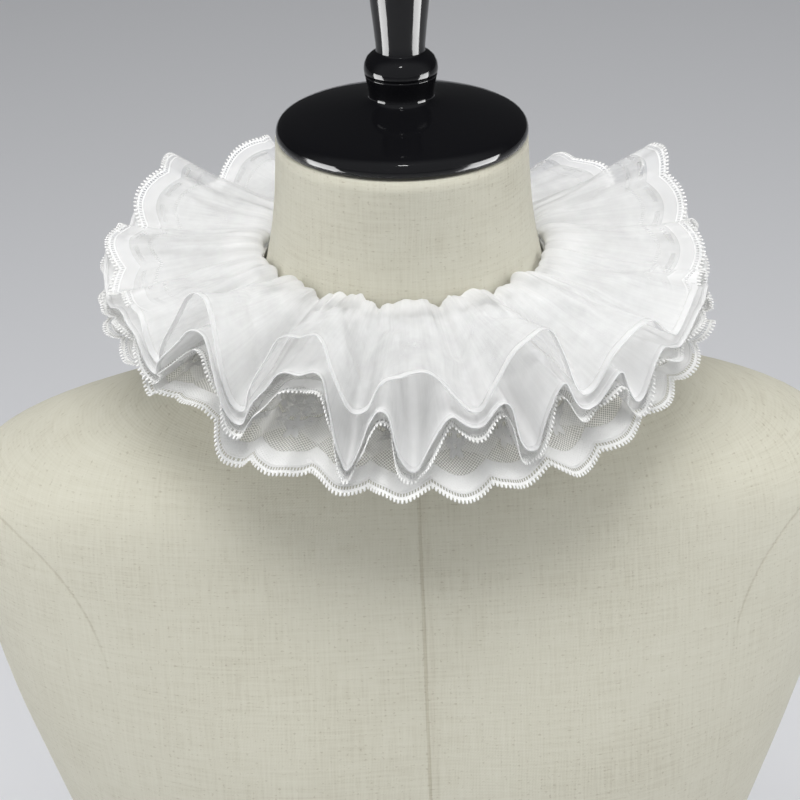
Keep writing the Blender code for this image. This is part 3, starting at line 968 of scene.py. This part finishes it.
def lace_finish(name, ruffle, pitch):
    """The lace of one ruffle: pitch is an arch's width, in mm along the strip."""
    depth = ruffle.reach * STRIP_WIDTH / MM
    finish = principled(name, LACE_WHITE, 0.7, Sheen_Weight=0.15, Specular_IOR_Level=0.15)
    tree = finish.node_tree
    shader = tree.nodes["Principled BSDF"]
    across, along = cloth_place(tree)
    up = along * -1 + depth
    edge = arched_edge(across, along, depth, pitch)
    side = across.within(pitch)
    half = pitch / 2
    half_side = across.within(half)
    wobble = flecks(tree, across * 0.16, along * 0.16, 1.0) * 1.6
    edge_solid, gaps, bars, border = worked_edge(across, edge)

    eye_top = (side / (half * 1.08) * (pi / 2)).maths("COSINE").at_least(0.0) * EYE_TALL + BORDER_MM
    eye_share = (eye_top - edge + wobble - 0.8).soft(-0.3, 0.3)
    eye = edge.soft(BORDER_MM - 0.2, BORDER_MM + 0.2) * eye_share

    bloom_up = up - (BORDER_MM + EYE_TALL + 1.0)
    from_middle = (side * side + bloom_up * bloom_up).root()
    petals = (side.angle_to(bloom_up) * 5).maths("COSINE") * 1.2 + FLOWER_MM - from_middle
    bloom = petals.soft(-0.2, 0.2) * from_middle.soft(0.7, 1.0)
    leaf_up = up - (BORDER_MM + EYE_TALL + 4.5)
    leaf_long = (half_side * 0.9 + leaf_up * 0.5).size() * 0.55
    leaf_wide = (leaf_up * 0.9 - half_side * 0.5).size() * 1.5
    leaf_out = leaf_long + leaf_wide
    slits = leaf_out.soft(3.0, 2.5) * leaf_out.soft(0.6, 0.9)

    second = (edge - RUNGS_2_AT).size()
    rungs = second.soft(0.85, 0.6)
    rails = second.line(1.15, 0.5)

    off_stem = up - across.wave(2 * pitch) * STEM_SWAY - STEM_AT
    stem = off_stem.line(0.0, 0.8)
    frond = across.within(pitch / 4)
    frond_wide = (frond / (pitch / 4) * pi).maths("COSINE") * 1.9
    fronds = (frond_wide - (off_stem.size() - 2.3).size()).soft(0.1, 0.5)
    dots_up = up - DOTS_AT
    dots = (half_side * half_side + dots_up * dots_up).root().soft(1.7, 1.3)

    lean = along * (NET_WIDE / NET_TALL)
    strands = (across + lean).arch(NET_WIDE).soft(*NET_STRAND)
    strands = strands.at_least((across - lean).arch(NET_WIDE).soft(*NET_STRAND))
    motifs = (bloom + slits + stem + fronds + dots + rails).at_most(1.0)
    solid = (motifs * edge.soft(CORD_AT, CORD_AT + 0.4)).at_least(edge_solid)
    ground = edge.soft(BORDER_MM, BORDER_MM + 0.5) * (eye.flipped() * GROUND_COVER)
    filled = (border * BORDER_COVER).at_least(ground)
    unopened = gaps.at_least(rungs * bars.flipped() * 0.8).flipped()
    grain = flecks(tree, across * 1.3, along * 1.3, 1.0) * 0.22 + 0.84
    patchy = flecks(tree, across * 0.12, along * 0.12, 2.0) * 0.16
    body = (filled + patchy + LACE_BODY) * unopened
    gathered = along.soft(LACE_DENSE_TO_MM, 2.0) * 0.35
    net = strands * edge.soft(1.2, 1.5) * unopened * NET_COVER
    opacity = (solid * grain).at_least(net).at_least(body) + gathered + 0.04
    tree.links.new(opacity.at_most(0.98).socket, shader.inputs["Alpha"])
    threads = across.arch(LACE_THREAD_MM) * 0.3 + along.arch(LACE_THREAD_MM) * 0.2
    relief = solid * (threads + 0.6) + filled * (threads + 0.2) + net * 0.5
    raise_relief(tree, shader, relief, 0.42, 0.8)
    return finish


# %% [markdown]
# ## The four ruffles
#
# Each ruffle is one fine grid, folded by the tables and drawn up by the gathers. The organza ruffles
# get a hem of doubled cloth, made from their own last rows and given a thickness. Every lace edge
# gets its picots: small loops, side by side along the arches, each lying in the cloth's own surface
# and pointing out of its edge.

# %% Cloth, hems and picots
PICOT_STEP = 1.7 * MM
PICOT_LONG, PICOT_WIDE, PICOT_THICKNESS = 1.05 * MM, 0.52 * MM, 0.3 * MM
PICOT_OUT = 0.55  # how much of its length a picot's middle stands out of the edge
LOOK_AHEAD = 0.4 * MM

picot_white = principled("picot_white", LACE_WHITE, 0.7, Sheen_Weight=0.15)
tree = picot_white.node_tree
x, y, z = object_place(tree)
raise_relief(tree, tree.nodes["Principled BSDF"], flecks(tree, x * 3 + z, y * 3 + z, 1.0), 0.12, 0.6)


def hem_of(ruffle, points, depths, length):
    """The turned hem: the last stretch of a ruffle, as its own doubled strip."""
    inner = int(np.searchsorted(depths[:, 0], depths[-1, 0] - HEM_MM * MM))
    rows = points[inner - 1 :]
    down = depths[inner - 1 :] - depths[inner - 1, 0]
    hem = cloth_grid(ruffle.name.replace("ruffle", "hem"), rows, length, down, hem_white)
    if ruffle.name == TRIMMED:
        bm = bmesh.new()
        bm.from_mesh(hem.data)
        laced = [face for face in bm.faces if laced_at(face.calc_center_median())]
        bmesh.ops.delete(bm, geom=laced, context="FACES")
        bm.to_mesh(hem.data)
        bm.free()
    doubled = hem.modifiers.new("doubled", "SOLIDIFY")
    doubled.thickness = HEM_THICKNESS
    doubled.offset = 0.0
    return hem


def picots_of(ruffle, points):
    """Small loops along a lace edge, as one piece, and how many there are."""
    rim, inner = points[-1], points[-3]
    steps = np.linalg.norm(np.roll(rim, -1, axis=0) - rim, axis=1)
    along = np.concatenate([[0.0], np.cumsum(steps)])
    steps_round = round(along[-1] / PICOT_STEP)
    closed = np.vstack([rim, rim[:1]])
    closed_inner = np.vstack([inner, inner[:1]])
    bm = bmesh.new()
    made = 0
    for k in range(steps_round):
        at = along[-1] * (k + 0.5) / steps_round
        place, within, ahead = [
            Vector([np.interp(spot, along, ring[:, axis]) for axis in range(3)])
            for spot, ring in ((at, closed), (at, closed_inner), (at + LOOK_AHEAD, closed))
        ]
        if ruffle.name == TRIMMED and not laced_at(place):
            continue
        made += 1
        outwards = (place - within).normalized()
        sideways = (ahead - place).normalized()
        face_up = outwards.cross(sideways).normalized()
        sideways = face_up.cross(outwards)
        spread = Matrix((sideways * PICOT_WIDE, outwards * PICOT_LONG, face_up)).transposed().to_4x4()
        spread.translation = place + outwards * PICOT_LONG * PICOT_OUT
        bmesh.ops.create_circle(bm, cap_ends=True, segments=8, radius=1.0, matrix=spread)
    picots = new_object(ruffle.name.replace("ruffle", "picots"), bm, picot_white)
    raised = picots.modifiers.new("raised", "SOLIDIFY")
    raised.thickness = PICOT_THICKNESS
    raised.offset = 0.0
    return picots, made


for tier, ruffle in enumerate(RUFFLES):
    points, depths, length = ruffle_surface(ruffle, tier)
    cut_depth = ruffle.reach * STRIP_WIDTH
    short_name = ruffle.name.replace("ruffle_", "")
    edgings = []
    if ruffle.scallops:
        finish = lace_finish(short_name, ruffle, length / ruffle.scallops / MM)
    else:
        pitch = length / TRIM_SCALLOPS / MM if ruffle.name == TRIMMED else None
        finish = organza_finish(short_name, ORGANZA_BODY[tier], pitch)
        edgings.append(hem_of(ruffle, points, depths, length))
    if ruffle.scallops or ruffle.name == TRIMMED:
        picots, count = picots_of(ruffle, points)
        edgings.append(picots)
        print(f"{ruffle.name}: {count} picots")
    cloth = cloth_grid(ruffle.name.replace("ruffle", "sheer"), points, length, depths, finish)
    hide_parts(ruffle.name)
    for piece in (cloth, *edgings):
        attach(piece, "root")
    print(f"{ruffle.name}: cut {length / MM:.0f} x {cut_depth / MM:.0f} mm")
